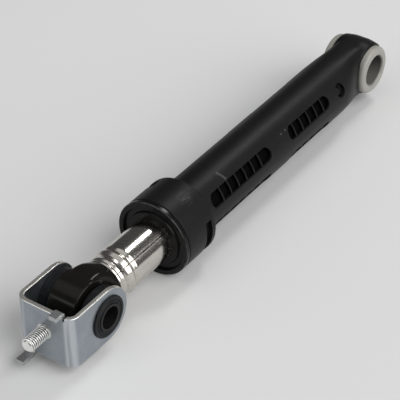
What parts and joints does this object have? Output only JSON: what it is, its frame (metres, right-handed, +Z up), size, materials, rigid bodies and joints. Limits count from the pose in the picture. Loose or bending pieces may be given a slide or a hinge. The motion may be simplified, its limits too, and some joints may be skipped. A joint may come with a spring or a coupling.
{
  "type": "washing machine shock absorber",
  "caption": "Friction damper: ribbed moulded housing with a bushed eye, sliding steel tube rod and a swivelling folded bracket with a screw stud.",
  "frame": {"origin": "centre of the upper eye's bush, on the damper's axis", "axes": "+X along the damper's axis from the upper eye to the bracket, +Y along both pivots, +Z up as the damper lies"},
  "size_m": [0.2573, 0.0354, 0.0354],
  "materials": {
    "black_plastic": "moulded, fine grain",
    "grey_rubber": "matt, light grey",
    "natural_plastic": "moulded, uncoloured",
    "liner_foam": "greased open foam",
    "black_rubber": "matt",
    "sleeve_plastic": "moulded",
    "plated_tube": "bright plated, drawn",
    "zinc_sheet": "bright zinc plated",
    "zinc_stud": "bright zinc plated"
  },
  "bodies": {
    "housing": {"housing": "black_plastic", "upper_bush": "grey_rubber", "end_cap": "black_plastic", "liner_carrier": "natural_plastic", "friction_liner": "liner_foam", "bump_stop": "black_rubber"},
    "guide": {"rod_guide": "natural_plastic"},
    "rod": {"rod_tube": "plated_tube", "rod_eye": "black_plastic"},
    "bracket": {"bracket": "zinc_sheet", "stud": "zinc_stud", "grommet_near": "black_rubber", "grommet_far": "black_rubber", "pivot_sleeve": "sleeve_plastic"}
  },
  "joints": [
    {"name": "rod_slide", "type": "slide", "parent": "housing", "child": "guide", "axis": [1, 0, 0], "range_m": [-0.023, 0.07]},
    {"name": "rod_spin", "type": "hinge", "parent": "guide", "child": "rod", "pos_m": [0.054, 0, 0], "axis": [1, 0, 0], "continuous": true},
    {"name": "bracket_swivel", "type": "hinge", "parent": "rod", "child": "bracket", "pos_m": [0.2115, 0, 0], "axis": [0, 1, 0], "range_deg": [-90, 90]}
  ]
}
